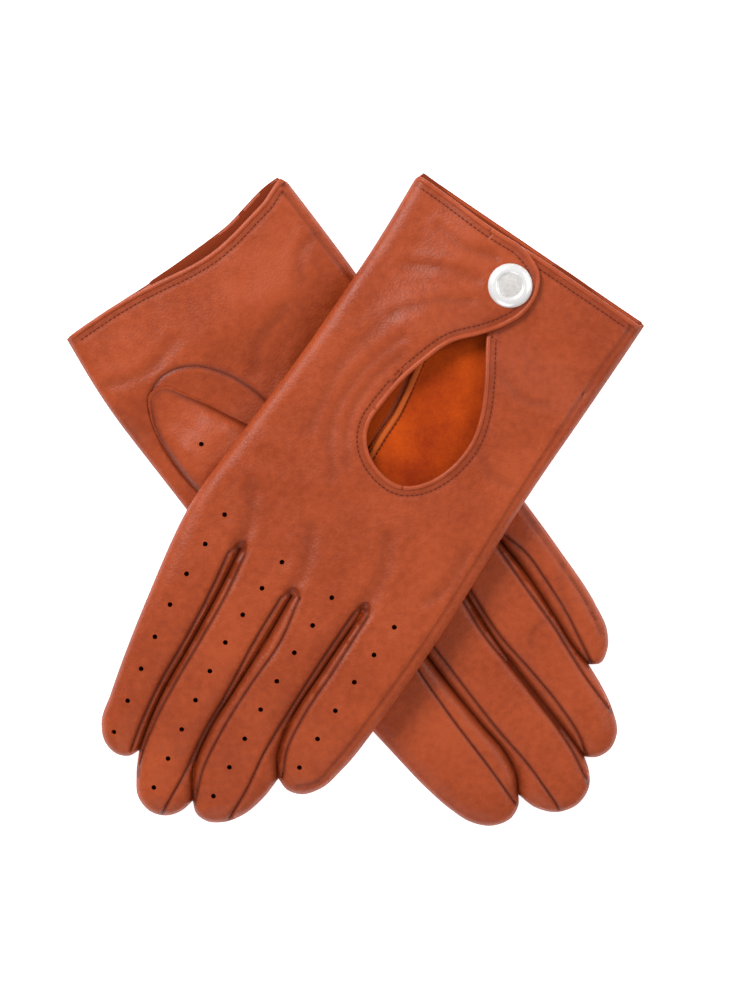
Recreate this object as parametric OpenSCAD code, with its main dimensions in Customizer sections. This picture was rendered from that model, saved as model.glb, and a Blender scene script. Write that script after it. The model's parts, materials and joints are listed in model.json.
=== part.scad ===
// A pair of unlined leather driving gloves, laid flat and crossed.
// The right glove lies palm up on the surface and the left glove lies back up across it.
// One glove is drawn in its own frame, seen from the back of the hand: x runs across the hand towards the
// little finger, y runs from the cuff towards the fingertips, and z rises from the palm to the back.

/* [Glove] */
// Width of the cuff, laid flat
cuff_w = 92; // [78:1:112]
// Width across the knuckles
hand_w = 95; // [80:1:116]
// Length from the cuff to the middle of the finger crotches
palm_l = 138; // [122:1:166]
// Thickness of the leather
leather = 0.8; // [0.65:0.05:1]
// Height of a glove that lies flat, over both leathers
glove_h = 6.6; // [6.4:0.2:9]

/* [Fingers] */
// Index finger, from the crotch line to the tip
index_l = 80; // [66:1:96]
// Middle finger, from the crotch line to the tip
middle_l = 90; // [75:1:108]
// Ring finger, from the crotch line to the tip
ring_l = 82; // [68:1:98]
// Little finger, from the crotch line to the tip
little_l = 58; // [48:1:70]
// Gap between two fingers at the crotch
crotch_gap = 1.2; // [1:0.1:2]
// Radius of the round perforations along the fingers
perforation_r = 0.85; // [0.6:0.05:1]
// Distance between two perforations
perforation_pitch = 11; // [9:0.5:14]

/* [Thumb] */
// Height of a thumb that lies flat
thumb_h = 5.8; // [5.8:0.1:7]
// Radius of the thumb's set-in base
thumb_base_r = 18.5; // [16:0.5:22]
// Radius of the thumb's tip
thumb_tip_r = 11; // [9:0.5:13]
// Radius of the hole in the palm that the thumb is sewn to
thumb_hole_r = 12; // [9:0.5:13]

/* [Keyhole and tab] */
// Length of the keyhole opening on the back of the hand
keyhole_l = 59.5; // [50:0.5:71]
// Width of the keyhole opening
keyhole_w = 32.6; // [27:0.2:39]
// Distance from the cuff to the keyhole's point
keyhole_start = 31; // [29:0.5:37]
// Width of the rolled edge strip along the keyhole, the tab and the cuff
edging_w = 1.5; // [1.2:0.1:1.8]
// Radius of the tab's round end
tab_r = 11.8; // [9.9:0.1:14]
// Distance from the cuff to the middle of the tab's round end
tab_mid = 13.2; // [13:0.1:16]

/* [Press stud] */
// Diameter of the press stud's cap
cap_d = 15; // [12:0.5:18]
// Height of the cap
cap_h = 1.7; // [1.4:0.1:2]
// Radius of the stud's head
stud_r = 1.9; // [1.8:0.1:2.3]
// Radial clearance between the stud's head and the socket
stud_play = 0.25; // [0.2:0.05:0.4]
// Height of the stud above its flange
stud_h = 1.1; // [0.9:0.1:1.4]
// Radius of the barrels that pass through the leather
barrel_r = 1.3; // [1:0.1:1.5]

/* [Lay] */
// Turn of the left glove about the vertical
left_turn = 147.3; // [146:0.1:149]
// Turn of the right glove about the vertical
right_turn = 215.4; // [214:0.1:217]
// Gap left between the two gloves
lay_gap = 0.3; // [0.3:0.1:1]

/* [Hidden] */

tan_leather = [0.66, 0.28, 0.14];
edge_leather = [0.60, 0.25, 0.12];
thread = [0.45, 0.16, 0.06];
steel = [0.82, 0.82, 0.84];

LEFT = 0;
RIGHT = 1;
tiny = 0.01;
far = 400;

// Where the middles of the two cuffs lie. The origin is under the middle of the crossed pair
cuff_spread = 119.4 / 95 * hand_w;
cuff_height = 84.4;
cuff_step = 2.4;
pair_shift = -0.61;

// Height stack of the press stud over the back leather
stud_flange_h = 0.4;
stud_flange_r = 4.5;
socket_gap = 0.1;
socket_r = 4.2;
socket_base = stud_flange_h + socket_gap;
socket_h = stud_h + 0.1;
tab_base = socket_base + socket_h;
lining_t = 0.4;
stud_stack = tab_base + leather + cap_h;
post_flange_h = 0.5;
post_flange_r = 4.8;
snap_at = [0.5, 13.6];

// The tab's round end keeps this much leather round the cap
tab_margin = 4.1;
tab_round = max(tab_r, cap_d / 2 + tab_margin);

// The tab is rooted along a straight line and covers the slit below the keyhole's point
tab_root_x = -14;
tab_root_end = keyhole_start + 2;
slit = 0.6;

// Lay of the gloves: each is a list of [distance from the cuff, height under the glove]
right_rise = stud_stack + 0.2;
ramp_start = tab_root_end + 1;
left_cuff_rise = right_rise + glove_h - 1.6;
left_rise = glove_h + thumb_h + lay_gap;
droop_start = palm_l + 27;
tip_end = palm_l + middle_l + 10;
left_lay = [
    [-10, left_cuff_rise], [ramp_start - 3, left_cuff_rise], [ramp_start + 4, left_rise],
    [droop_start, left_rise], [tip_end, left_rise - 8]
];
right_lay = [
    [-10, -right_rise], [ramp_start, -right_rise], [ramp_start + 10, 0], [tip_end, 0]
];
function lay_of(side) = side == LEFT ? left_lay : right_lay;

// Outline of a glove. Sideways places are shares of the knuckle width and lengthways ones are in mm
finger_l = [index_l, middle_l, ring_l, little_l];
tip_x = [[-0.298, -0.066, 0.143, 0.340], [-0.250, 0.002, 0.221, 0.432]];
tip_r = [[0.100, 0.101, 0.101, 0.088], [0.124, 0.110, 0.100, 0.092]];
crotch_x = [[-0.299, -0.053, 0.191], [-0.100, 0.147, 0.360]];
crotch_y = [[-2, 2, -8], [4, 10, 3]];
index_edge = [[-0.505, 0.13], [-0.520, 0.50], [-0.535, 0.95]];
little_edge = [[0.465, 0.95], [0.462, 0.50], [0.480, 0.13]];
right_index_edge = [[-0.500, 0.13], [-0.490, 0.50], [-0.450, 0.95]];
right_little_edge = [[0.515, 0.98], [0.500, 0.50], [0.490, 0.13]];

function tip_at(side, i) = [tip_x[side][i] * hand_w, palm_l + finger_l[i] - tip_r[side][i] * hand_w];
function arc(mid, r, from, to, steps) =
    [for (i = [0 : steps]) mid + r * [cos(from + (to - from) * i / steps), sin(from + (to - from) * i / steps)]];
function edge_points(shares, inset) = [for (s = shares) [s[0] * hand_w + inset, s[1] * palm_l]];
function finger_tip(side, i, inset) = arc(tip_at(side, i), tip_r[side][i] * hand_w - inset, 180, 0, 14);
function crotch(side, i) = [crotch_x[side][i] * hand_w, palm_l + crotch_y[side][i]];
function crotch_points(side, i, inset) = [
    crotch(side, i) + [-crotch_gap / 2 - inset, -inset],
    crotch(side, i) + [crotch_gap / 2 + inset, -inset]
];
function outline(side, inset, mouth) = concat(
    [[-cuff_w / 2 + inset, mouth]],
    edge_points(side == LEFT ? index_edge : right_index_edge, inset),
    finger_tip(side, 0, inset), crotch_points(side, 0, inset),
    finger_tip(side, 1, inset), crotch_points(side, 1, inset),
    finger_tip(side, 2, inset), crotch_points(side, 2, inset),
    finger_tip(side, 3, inset),
    edge_points(side == LEFT ? little_edge : right_little_edge, -inset),
    [[cuff_w / 2 - inset, mouth]]
);

// Keyhole: four curves between its point, its two sides and its round end
function curve(a, b, c, d, steps) = [
    for (i = [0 : steps - 1]) let (t = i / steps, s = 1 - t)
    s * s * s * a + 3 * s * s * t * b + 3 * s * t * t * c + t * t * t * d
];
key_mid = [1.7, keyhole_start + 0.62 * keyhole_l];
function key_point(x, y, inset) =
    let (p = [x * keyhole_w, (y - 0.62) * keyhole_l])
    key_mid + [p[0] * (1 - 2 * inset / keyhole_w), p[1] * (1 - 2 * inset / keyhole_l)];
function keyhole(inset) = concat(
    curve(key_point(0.03, 0, inset), key_point(-0.42, 0.27, inset), key_point(-0.47, 0.49, inset),
          key_point(-0.5, 0.74, inset), 10),
    curve(key_point(-0.5, 0.74, inset), key_point(-0.5, 0.91, inset), key_point(-0.23, 1, inset),
          key_point(0.03, 1, inset), 8),
    curve(key_point(0.03, 1, inset), key_point(0.28, 1, inset), key_point(0.5, 0.81, inset),
          key_point(0.5, 0.6, inset), 8),
    curve(key_point(0.5, 0.6, inset), key_point(0.5, 0.39, inset), key_point(0.19, 0.17, inset),
          key_point(0.03, 0, inset), 10)
);

module glove_plan(side, inset = 0, mouth = edging_w) polygon(outline(side, inset, mouth));

module wall_plan(side) difference() {
    glove_plan(side);
    glove_plan(side, leather, -1);
}

// The strip between two finger middles, where the fourchette makes the side walls
function finger_root(side, i) =
    let (low = i == 0 ? [-0.5 * hand_w, palm_l] : crotch(side, i - 1),
         high = i == 3 ? [0.47 * hand_w, palm_l] : crotch(side, i))
    [(low[0] + high[0]) / 2, palm_l - 14];
module between_fingers(side, i) polygon([
    tip_at(side, i), finger_root(side, i), finger_root(side, i + 1), tip_at(side, i + 1)
]);

// A layer that follows the lay of the glove, from low to high over the glove's underside
module layer(side, low, high) {
    lay = lay_of(side);
    rotate([90, 0, 90])
        linear_extrude(height = far, center = true)
            polygon(concat(
                [for (p = lay) [p[0], p[1] + low]],
                [for (i = [len(lay) - 1 : -1 : 0]) [lay[i][0], lay[i][1] + high]]
            ));
}

module cut_out(side, low, high) intersection() {
    translate([0, 0, -far / 2]) linear_extrude(height = far) children();
    layer(side, low, high);
}

// Puts a piece drawn in the glove's own frame where that glove lies
module place(side) {
    if (side == LEFT)
        translate([pair_shift + cuff_spread / 2, cuff_height + cuff_step / 2, 0])
            rotate([0, 0, left_turn]) mirror([1, 0, 0]) children();
    else
        translate([pair_shift - cuff_spread / 2, cuff_height - cuff_step / 2, glove_h])
            rotate([0, 0, right_turn]) rotate([0, 180, 0]) children();
}

// Height of the cuff's top face in the glove's own frame
function cuff_top(side) = lay_of(side)[0][1] + glove_h;

// Rows of perforations along the backs of the fingers
hole_rows = [[-0.405, 8], [-0.155, 9], [0.062, 8], [0.305, 6]];
row_start = palm_l - 5;
module perforations(side) {
    for (i = [0 : 3])
        for (k = [0 : hole_rows[i][1] - 1]) {
            last = tip_at(side, i);
            first = [hole_rows[i][0] * hand_w + (side == LEFT ? 0 : 0.12 * hand_w), row_start];
            share = k * perforation_pitch / (last[1] - first[1]);
            if (share < 1.02)
                translate(first + (last - first) * share) circle(r = perforation_r, $fn = 16);
        }
}

// Slit that frees the tab's layer from the layer under it
module slit_plan() {
    translate([tab_root_x - slit, -5]) square([slit, tab_root_end + 5]);
    polygon([
        [tab_root_x - slit, tab_root_end - slit], [key_point(0.03, 0, 0)[0], keyhole_start + tiny],
        [key_point(0.03, 0, 0)[0] - 2, keyhole_start + 3], [tab_root_x - slit, tab_root_end]
    ]);
}

module back(side) color(tan_leather) place(side) difference() {
    union() {
        cut_out(side, glove_h - leather, glove_h) difference() {
            glove_plan(side);
            polygon(keyhole(0));
            slit_plan();
            perforations(side);
        }
        cut_out(side, glove_h / 2, glove_h - leather) difference() {
            wall_plan(side);
            for (i = [0 : 2]) between_fingers(side, i);
        }
    }
    translate([snap_at[0], snap_at[1], cuff_top(side) - leather - 1])
        cylinder(h = leather + 2, r = barrel_r, $fn = 32);
}

module palm(side) color(tan_leather) place(side) {
    cut_out(side, 0, leather) difference() {
        glove_plan(side);
        translate(thumb_base) circle(r = thumb_hole_r, $fn = 48);
    }
    cut_out(side, leather, glove_h / 2) difference() {
        wall_plan(side);
        for (i = [0 : 2]) between_fingers(side, i);
    }
}

module fourchette(side, i) color(edge_leather) place(side)
    cut_out(side, leather, glove_h - leather) intersection() {
        wall_plan(side);
        between_fingers(side, i);
    }

// Thumb: set into the palm at its base, bent at its ball and folded across the palm
thumb_base = [-22, 50];
thumb_ball = [[-15, 64], [-24.5, 72]];
thumb_tip = [[24, 88], [-8, 108]];
thumb_ball_r = 15;
module thumb_plan(side, inset) hull() {
    translate(thumb_base) circle(r = thumb_base_r - inset, $fn = 32);
    translate(thumb_ball[side]) circle(r = thumb_ball_r - inset, $fn = 32);
    translate(thumb_tip[side]) circle(r = thumb_tip_r - inset, $fn = 32);
}
module thumb(side) color(tan_leather) place(side) difference() {
    cut_out(side, -thumb_h, 0) thumb_plan(side, 0);
    cut_out(side, leather - thumb_h, -leather) thumb_plan(side, leather);
    cut_out(side, -leather - 1, 1) translate(thumb_base) circle(r = thumb_hole_r, $fn = 48);
}

// Rolled edge strips: a frame around the cuff's mouth and a ring inside the keyhole
module cuff_edging(side) color(edge_leather) place(side) difference() {
    cut_out(side, 0, glove_h) translate([-cuff_w / 2, 0]) square([cuff_w, edging_w]);
    cut_out(side, leather, glove_h - leather)
        translate([-cuff_w / 2 + leather, -1]) square([cuff_w - 2 * leather, edging_w + 2]);
    cut_out(side, glove_h - leather - 1, glove_h + 1) slit_plan();
}
module keyhole_edging(side) color(edge_leather) place(side)
    cut_out(side, glove_h - leather - 0.3, glove_h) difference() {
        polygon(keyhole(0));
        polygon(keyhole(edging_w));
        translate([tab_root_x - far / 2, -far + keyhole_start + 3.5]) square([far, far]);
    }

// A row of short stitches along a straight line, lying on the leather
stitch_l = 1.5;
stitch_pitch = 2.4;
stitch_r = 0.2;
stitch_inset = 3.4;
module stitch_row(from, to, height) {
    count = floor((to - from) / stitch_pitch);
    for (k = [0 : count - 1])
        translate([from + (k + 0.2) * stitch_pitch, stitch_inset, height])
            rotate([0, 90, 0]) cylinder(h = stitch_l, r = stitch_r, $fn = 16);
}
module cuff_stitching(side) color(thread) place(side) {
    top = cuff_top(side) + stitch_r;
    under = cuff_top(side) - glove_h - stitch_r;
    stitch_row(-cuff_w / 2 + 2, tab_root_x - slit, top);
    stitch_row(tab_round, cuff_w / 2 - 3, top);
    stitch_row(-cuff_w / 2 + 2, cuff_w / 2 - 2, under);
}

// Press stud halves on the back leather: the stud above it and its post below it
module stud(side) color(steel) place(side) translate([snap_at[0], snap_at[1], cuff_top(side)])
    difference() {
        union() {
            cylinder(h = stud_flange_h, r = stud_flange_r, $fn = 48);
            cylinder(h = stud_flange_h + stud_h, r = stud_r, $fn = 32);
        }
        translate([0, 0, -1]) cylinder(h = stud_flange_h + stud_h + 0.6, r = barrel_r, $fn = 32);
    }
module stud_post(side) color(steel) place(side)
    translate([snap_at[0], snap_at[1], cuff_top(side) - leather - post_flange_h]) {
        cylinder(h = post_flange_h, r = post_flange_r, $fn = 48);
        cylinder(h = post_flange_h + leather + stud_flange_h + stud_h - 0.5, r = barrel_r, $fn = 32);
    }

// Tab: a round-ended flap rooted along a straight line, with its lining, edging and stitches
tab_end = [-1.8, tab_mid];
module tab_plan(grow = 0, root = tab_root_x) hull() {
    translate(tab_end) circle(r = tab_round + grow, $fn = 48);
    translate(tab_end + [-1.6, 6.4]) circle(r = tab_round + grow - 0.8, $fn = 48);
    translate([root, 0]) square([1, tab_root_end]);
}
module on_tab(side, height) place(side) translate([0, 0, cuff_top(side) + height]) children();
module tab(side) color(tan_leather) on_tab(side, tab_base) difference() {
    linear_extrude(height = leather) tab_plan();
    translate([snap_at[0], snap_at[1], -1]) cylinder(h = leather + 2, r = barrel_r, $fn = 32);
}
module tab_lining(side) color(edge_leather) on_tab(side, tab_base - lining_t) difference() {
    linear_extrude(height = lining_t) tab_plan(-1.5, tab_root_x + 2);
    translate([snap_at[0], snap_at[1], -1]) cylinder(h = lining_t + 2, r = socket_r + 0.15, $fn = 48);
}
module tab_edging(side) color(edge_leather) on_tab(side, tab_base) linear_extrude(height = leather)
    difference() {
        tab_plan(edging_w);
        tab_plan(0);
        translate([tab_root_x - far, -far / 2]) square([far + tab_round / 2, far]);
    }
module tab_stitching(side) color(thread) on_tab(side, tab_base + leather + stitch_r)
    for (a = [-76 : 12 : 44])
        translate(tab_end) rotate(a) translate([tab_round - 1.2, 0, 0])
            rotate([90, 0, 0]) cylinder(h = stitch_l, r = stitch_r, center = true, $fn = 16);

// Press stud halves on the tab: the socket under it and the domed cap over it
module socket(side) color(steel) on_tab(side, socket_base) translate([snap_at[0], snap_at[1], 0])
    difference() {
        cylinder(h = socket_h, r = socket_r, $fn = 48);
        translate([0, 0, -1]) cylinder(h = socket_h + 2, r = stud_r + stud_play, $fn = 32);
    }
dish_r = 4.2;
dish_depth = 0.25;
rim_h = 0.5;
module cap(side) color(steel) on_tab(side, tab_base) translate([snap_at[0], snap_at[1], 0]) {
    cylinder(h = leather, r = barrel_r, $fn = 32);
    translate([0, 0, leather]) rotate_extrude($fn = 64) polygon(concat(
        [[0, 0], [cap_d / 2 - 0.4, 0], [cap_d / 2, rim_h / 2]],
        [for (a = [10 : 10 : 60]) [
            dish_r + (cap_d / 2 - dish_r) * cos(a), rim_h / 2 + (cap_h - rim_h / 2) * sin(a) / sin(60)
        ]],
        [[dish_r, cap_h - dish_depth], [0, cap_h - dish_depth]]
    ));
}

back(LEFT);  // left_back
palm(LEFT);  // left_palm
fourchette(LEFT, 0);  // left_index_fourchette
fourchette(LEFT, 1);  // left_middle_fourchette
fourchette(LEFT, 2);  // left_ring_fourchette
thumb(LEFT);  // left_thumb
cuff_edging(LEFT);  // left_cuff_edging
keyhole_edging(LEFT);  // left_keyhole_edging
cuff_stitching(LEFT);  // left_cuff_stitching
stud(LEFT);  // left_stud
stud_post(LEFT);  // left_stud_post
tab(LEFT);  // left_tab
tab_lining(LEFT);  // left_tab_lining
tab_edging(LEFT);  // left_tab_edging
tab_stitching(LEFT);  // left_tab_stitching
socket(LEFT);  // left_socket
cap(LEFT);  // left_cap
back(RIGHT);  // right_back
palm(RIGHT);  // right_palm
fourchette(RIGHT, 0);  // right_index_fourchette
fourchette(RIGHT, 1);  // right_middle_fourchette
fourchette(RIGHT, 2);  // right_ring_fourchette
thumb(RIGHT);  // right_thumb
cuff_edging(RIGHT);  // right_cuff_edging
keyhole_edging(RIGHT);  // right_keyhole_edging
cuff_stitching(RIGHT);  // right_cuff_stitching
stud(RIGHT);  // right_stud
stud_post(RIGHT);  // right_stud_post
tab(RIGHT);  // right_tab
tab_lining(RIGHT);  // right_tab_lining
tab_edging(RIGHT);  // right_tab_edging
tab_stitching(RIGHT);  // right_tab_stitching
socket(RIGHT);  // right_socket
cap(RIGHT);  // right_cap
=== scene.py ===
import json
import math

import bmesh
import bpy
import numpy as np
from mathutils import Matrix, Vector
from mathutils.geometry import delaunay_2d_cdt


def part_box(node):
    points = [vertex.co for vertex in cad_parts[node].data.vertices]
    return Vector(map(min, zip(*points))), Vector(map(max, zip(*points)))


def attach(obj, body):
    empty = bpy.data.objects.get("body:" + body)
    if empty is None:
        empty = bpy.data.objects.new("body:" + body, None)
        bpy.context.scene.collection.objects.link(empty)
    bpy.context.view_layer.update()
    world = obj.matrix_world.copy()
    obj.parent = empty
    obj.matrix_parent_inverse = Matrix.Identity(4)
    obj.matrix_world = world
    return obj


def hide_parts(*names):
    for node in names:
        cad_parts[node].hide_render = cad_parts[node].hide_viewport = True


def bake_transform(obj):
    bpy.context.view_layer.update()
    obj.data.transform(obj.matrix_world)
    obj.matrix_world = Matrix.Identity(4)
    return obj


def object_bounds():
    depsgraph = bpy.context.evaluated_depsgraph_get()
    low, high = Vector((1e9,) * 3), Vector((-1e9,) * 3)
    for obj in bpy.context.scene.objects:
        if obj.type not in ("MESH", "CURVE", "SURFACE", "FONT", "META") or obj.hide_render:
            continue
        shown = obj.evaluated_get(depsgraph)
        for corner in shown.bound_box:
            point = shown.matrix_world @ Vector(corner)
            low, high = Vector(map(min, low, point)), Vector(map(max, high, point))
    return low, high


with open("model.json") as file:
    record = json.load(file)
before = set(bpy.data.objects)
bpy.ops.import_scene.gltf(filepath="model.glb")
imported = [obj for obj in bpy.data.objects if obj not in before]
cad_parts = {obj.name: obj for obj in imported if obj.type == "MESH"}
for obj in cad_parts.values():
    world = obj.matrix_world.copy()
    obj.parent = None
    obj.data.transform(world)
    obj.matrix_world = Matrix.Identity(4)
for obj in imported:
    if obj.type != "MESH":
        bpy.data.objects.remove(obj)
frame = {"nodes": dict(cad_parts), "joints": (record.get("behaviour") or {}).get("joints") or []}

CAD_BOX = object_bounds()

# A pair of short unlined driving gloves in tan leather, one crossed over the other. The left one
# lies on top with its back up, the right one lies under it with its palm up.
# Lengths are in millimetres in each glove's own frame: v runs across towards the little finger,
# u from the cuff to the fingertips, and z from the palm's face to the back's.

MM = 0.001
SIDES = ("left", "right")
STRIPS = ("index", "middle", "ring")

# The glove laid flat: its height, the leather, and half the cuff's width
THICK = 6.6
MIDDLE = THICK / 2
LEATHER = 0.8
THUMB_INNER_LEATHER = 0.4
CUFF_HALF = 46
# The tab: its hinge, how high it lies, the v where its leather is parted from the hand's, how far up it
# reaches, and the width of a bend at its root that is worked out but not made
HINGE_AT = (-14.0, 16.5)
TAB_LIFT = 2.5
FOLD_V = -14.2
FOLD_END = 72.0
FOLD_SOFT = 7.0
# The layer under the tab: where it joins the hand, and how far it reaches under the tab
JOIN_U = 31.0
UNDER_V = -12
# The keyhole's low side, next to the little finger: beyond this v and before this u
LOW_V = 2.4
LOW_U = 90
# Perforations, and the turned edge with its groove, roll and row of stitches
HOLE_R = 0.85
GROOVE_AT = 1.75
HEM_STITCH_AT = 3.1
ROLL_IN = 0.62
ROLL_SINK = 0.3
ROLL_HALF_WIDE = 0.86
ROLL_HALF_HIGH = 0.62
# How far the smooth leather is turned in behind the cuff's edge
TURNED_IN = 6.0
# How far the leather takes to roll up out of a valley, on either side of it
TIGHT_ROLL = 4.4
WIDE_ROLL = 8.6
# Stitches: how far apart, how deep they sit, and the stations and thickness along each one
STITCH_PITCH = 1.65
STITCH_SINK = 0.14
STITCH_RUN = (-0.62, -0.46, 0, 0.46, 0.62)
STITCH_THICK = (0.08, 0.19, 0.24, 0.19, 0.08)
STITCH_SIDES = 6
# Distances between points on pieces that are seen and on pieces that lie hidden
SEEN_SPACING = 1.25
ROW_GAP = 0.5
GRID_GAP = 0.95
HIDDEN_BACK_SPACING = 2.2
HIDDEN_PALM_SPACING = 2.0

# Height under the glove at distances from the cuff
LAY = {
    "left": [(-10, 9.4), (31, 9.4), (38, 12.7), (165, 12.7), (238, 4.7)],
    "right": [(-10, -4.4), (34, -4.4), (44, 0), (238, 0)],
}

# The outline, in four runs that meet in the notches between the fingertips
OUTLINE = {
    "left": [
        [(-46, 0), (-45.4, 18), (-46.2, 69), (-49, 108), (-50.4, 130), (-45.5, 168), (-38.6, 202),
         (-36, 212), (-31.3, 217), (-26, 218.2), (-22, 216.4), (-20.2, 213)],
        [(-20.2, 213), (-16.5, 220.5), (-12, 226.6), (-5.6, 228.6), (0, 226.4), (3.2, 222),
         (4.3, 217.6)],
        [(4.3, 217.6), (7.6, 220.6), (12, 220.9), (16.6, 218.4), (21.4, 212), (23.8, 204),
         (24.6, 195.4)],
        [(24.6, 195.4), (29, 197), (33.8, 195.8), (38.4, 190.5), (41, 181), (43, 160), (44.4, 131),
         (43.9, 69), (45.6, 18), (46, 0)],
    ],
    "right": [
        [(-46, 0), (-47.5, 18), (-46.6, 69), (-42.8, 131), (-37.4, 178), (-34.8, 196), (-32.4, 206),
         (-29, 214), (-23.8, 219), (-17, 220.4), (-12.4, 218), (-10.6, 215.4)],
        [(-10.6, 215.4), (-8.6, 222), (-3.4, 227.8), (3.7, 229.8), (10.4, 227.3), (14, 222),
         (15.2, 217.8)],
        [(15.2, 217.8), (18.6, 220.4), (24, 220.8), (28.9, 217.8), (32.4, 210), (34.2, 200),
         (34.6, 193)],
        [(34.6, 193), (38, 195), (43, 192.4), (46.6, 187), (48.4, 178), (49.2, 155), (48.9, 133),
         (47.5, 69), (46.6, 18), (46, 0)],
    ],
}

# Valleys between neighbouring fingers, from the crotch to the notch
VALLEYS = {
    "left": [
        [(-28, 137), (-26.4, 152), (-25, 172), (-24.2, 190), (-22.2, 204), (-20.2, 213)],
        [(-5, 141), (-4.2, 158), (-4.1, 178), (-3.6, 196), (-1.6, 207), (4.3, 217.6)],
        [(18, 132), (17.3, 155), (17.9, 180), (20.6, 189.5), (24.6, 195.4)],
    ],
    "right": [
        [(-9.5, 142), (-8.8, 156), (-8.2, 172), (-7, 189), (-6, 202), (-7.5, 210), (-10.6, 215.4)],
        [(14.2, 148), (13.4, 170), (14, 186), (14.9, 203), (15.2, 217.8)],
        [(34.3, 141), (35.2, 155), (34.6, 173), (33.9, 186), (34.6, 193)],
    ],
}

# Seams of the strips let in between the fingers: which valley each belongs to, and its line
SEAMS = {
    "left": [
        (0, [(-30.6, 140), (-28.8, 153), (-27.2, 172), (-26.4, 190), (-24.6, 204), (-22.6, 214)]),
        (0, [(-25.6, 138), (-23.6, 153), (-22.6, 172), (-22, 188), (-20.8, 202), (-18.6, 213),
             (-15.6, 221)]),
        (1, [(-7.6, 143), (-7.2, 160), (-5.6, 182), (-4.9, 197), (-3, 211), (-2.2, 227)]),
        (1, [(-2.4, 140), (0.2, 156), (-0.4, 174), (0, 194), (1.4, 206), (5.4, 218)]),
        (2, [(15.8, 134), (15.2, 155), (15.3, 175), (15.8, 190), (17.6, 205), (17.8, 216.6)]),
        (2, [(20.3, 133), (20.5, 155), (20.3, 174), (21.6, 185), (25.4, 194)]),
    ],
    "right": [
        (0, [(-12.5, 143), (-13.8, 160), (-14, 180), (-13.4, 200), (-13.2, 217.5)]),
        (0, [(-7, 141), (-5.2, 157), (-4.3, 178), (-3.6, 193), (-2.1, 208), (-2, 227.6)]),
        (1, [(12.2, 150), (11.3, 163), (12.6, 181), (13.2, 196), (13.4, 210), (11, 226)]),
        (1, [(16.4, 147), (15.6, 168), (17.2, 183), (18.3, 198), (17.8, 211), (16, 218.2)]),
        (2, [(32.4, 143), (32.2, 158), (32.4, 176), (31.3, 193), (31.4, 211)]),
        (2, [(36.6, 140), (39, 149), (39.2, 161), (38.4, 175), (36.9, 185), (35.6, 193.4)]),
    ],
}

# The seam down the little finger's side of the hand
SIDE_SEAM = {
    "left": [(42.3, 3), (41.4, 18), (40.6, 69), (41, 131), (39.4, 160), (37.6, 180), (35.6, 189.6),
             (31, 194)],
    "right": [(43, 3), (43.4, 18), (45.2, 69), (46.6, 131), (46.8, 155), (45.8, 178), (44, 187)],
}

# Perforations along each finger's back: first, bend and last place, and how many
PERFORATIONS = {
    "left": [
        ([(-38.6, 130), (-38.6, 153), (-30.6, 212)], 8),
        ([(-13.8, 133), (-15.3, 154), (-9.2, 220.5)], 9),
        ([(6.7, 134), (6.1, 155.5), (9.3, 212)], 8),
        ([(29.7, 131), (28.3, 155), (28.4, 188)], 6),
    ],
    "right": [
        ([(-33, 130), (-30, 153), (-24, 208)], 8),
        ([(-1, 133), (1, 154), (3, 220)], 9),
        ([(21, 134), (23, 155.5), (24, 211)], 8),
        ([(39.5, 131), (42, 155), (41.4, 186)], 6),
    ],
}
THUMB_PERFORATIONS = {"left": [(-12, 62), (0, 69)], "right": [(-29.2, 55.7), (-24.5, 64.8)]}

# Keyhole, as corner, two handles, corner, in shares of its width and length
KEYHOLE_AT = (1.7, 31.0)
KEYHOLE_SIZE = (32.6, 59.5)
KEYHOLE_POINT = (3.2, 31.0)
KEYHOLE_CURVES = [
    [(0.03, 0), (-0.42, 0.27), (-0.47, 0.49), (-0.5, 0.74)],
    [(-0.5, 0.74), (-0.5, 0.91), (-0.23, 1), (0.03, 1)],
    [(0.03, 1), (0.28, 1), (0.5, 0.81), (0.5, 0.6)],
    [(0.5, 0.6), (0.5, 0.39), (0.19, 0.17), (0.03, 0)],
]
# The tab's free edge, from the cuff round its end to the keyhole's left edge
TAB_EDGE = [
    (-3, 0.7), (2.4, 2.3), (6.6, 4.9), (9, 9), (9.9, 14), (9.2, 19.6), (6, 26), (0.6, 33), (-5.4, 39.6),
]

# Plan of the thumb tube, and of the leather round its root
THUMB_TUBE = {
    "left": [(-33, 32), (-27, 33), (-16, 36), (-4, 44), (10, 58), (23, 76), (33, 83), (35, 90),
             (30, 97.5), (21, 98.6), (10, 94), (-12, 84), (-28, 74), (-38, 62), (-40.3, 50), (-38, 38)],
    "right": [(-33.5, 31.5), (-28.4, 32.2), (-23.8, 39), (-19.6, 46), (-15.6, 53.5), (-11.6, 61),
              (-6.5, 72), (-0.5, 88), (3.4, 102), (1.6, 114), (-8, 119), (-17, 113), (-26, 98),
              (-35, 83), (-39.5, 70), (-40.6, 57), (-40.2, 47), (-38, 38)],
}
THUMB_ROOT = {
    "left": [(-40.4, 52), (-38.6, 42), (-34.4, 33), (-28, 29.5), (-20, 31), (-13.6, 40), (-10.6, 53),
             (-8.8, 65), (-8.8, 77), (-9.6, 89), (-16, 97), (-27, 94), (-35, 84), (-39.6, 68)],
    "right": [(-40.6, 52), (-39.2, 43.6), (-34.6, 33), (-29, 29.8), (-22.4, 29.9), (-16, 32.8),
              (-10.2, 39), (-5.6, 47.6), (-2.6, 60), (-5, 76), (-14, 88), (-26, 90), (-35.5, 80),
              (-39.8, 66)],
}
# How far the thumb stands out of the palm
THUMB_OUT = 5.6
# The thumb's seam as it shows inside the left keyhole, and half the width of the gap beside it
INNER_SEAM = [(-11.6, 47), (-10.7, 53), (-9.2, 62), (-8.2, 70), (-8.2, 79), (-7.9, 90)]
GAP_HALF = 0.9

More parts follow.
